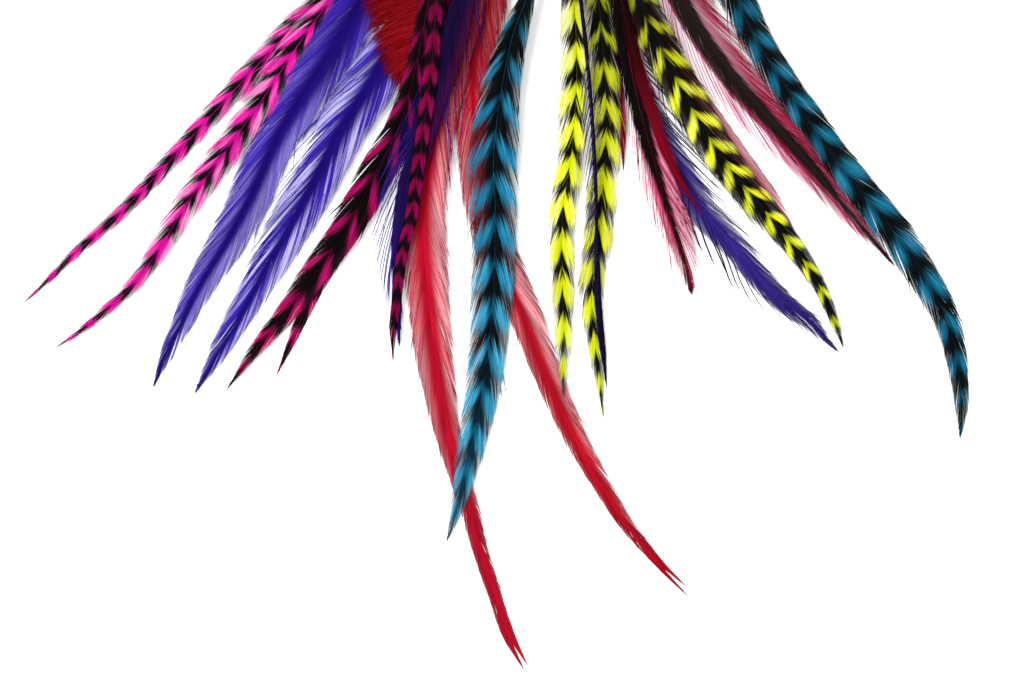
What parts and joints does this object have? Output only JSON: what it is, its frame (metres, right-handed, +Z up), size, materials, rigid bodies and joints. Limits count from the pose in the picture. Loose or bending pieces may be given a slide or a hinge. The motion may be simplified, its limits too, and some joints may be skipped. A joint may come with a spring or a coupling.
{
  "type": "feather hair extension",
  "caption": "Dyed rooster hackle feathers fanned out from one flat keratin bond, worn as a hair extension; lies flat on its bond and the feather tips.",
  "frame": {"origin": "centre of the bond's underside, on the surface that the extension lies on", "axes": "+Z up, away from that surface; the feathers leave the bond towards -Y and fan out along X"},
  "size_m": [0.2837, 0.287, 0.0078],
  "materials": {
    "pink_hackle": "dyed feather, pink with dark bars, soft satin",
    "purple_hackle": "dyed feather, purple, soft satin",
    "magenta_hackle": "dyed feather, deep magenta with black bars, soft satin",
    "maroon_hackle": "dyed feather, maroon magenta with black bars, soft satin",
    "violet_hackle": "dyed feather, violet, loose barbs",
    "red_hackle": "dyed feather, red with a paler vane, downy base",
    "teal_hackle": "dyed feather, teal with black bars, satin",
    "yellow_hackle": "dyed feather, fluorescent yellow with black bars, satin",
    "navy_hackle": "dyed feather, very dark navy, satin",
    "indigo_hackle": "dyed feather, indigo with loose dark barbs, satin",
    "badger_hackle": "dyed feather, brown-black centre stripe and pink vanes, satin",
    "crimson_hackle": "dyed feather, dark crimson, satin",
    "rose_hackle": "dyed feather, rose with dense red edges, satin",
    "keratin": "translucent amber keratin, pressed flat, glossy"
  },
  "bodies": {
    "root": {"pink_grizzly_outer": "pink_hackle", "pink_grizzly_inner": "pink_hackle", "purple_outer": "purple_hackle", "purple_inner": "purple_hackle", "magenta_grizzly_wide": "magenta_hackle", "magenta_grizzly_slim": "magenta_hackle", "maroon_grizzly_slim": "maroon_hackle", "violet_loose": "violet_hackle", "red_long": "red_hackle", "red_swept": "red_hackle", "teal_grizzly_center": "teal_hackle", "yellow_grizzly_left": "yellow_hackle", "navy_slim": "navy_hackle", "yellow_grizzly_middle": "yellow_hackle", "red_thin": "red_hackle", "indigo_swept": "indigo_hackle", "badger_pink_short": "badger_hackle", "crimson_slim": "crimson_hackle", "yellow_grizzly_right": "yellow_hackle", "rose_slim": "rose_hackle", "badger_pink_long": "badger_hackle", "teal_grizzly_right": "teal_hackle", "keratin_bond": "keratin"}
  },
  "joints": []
}
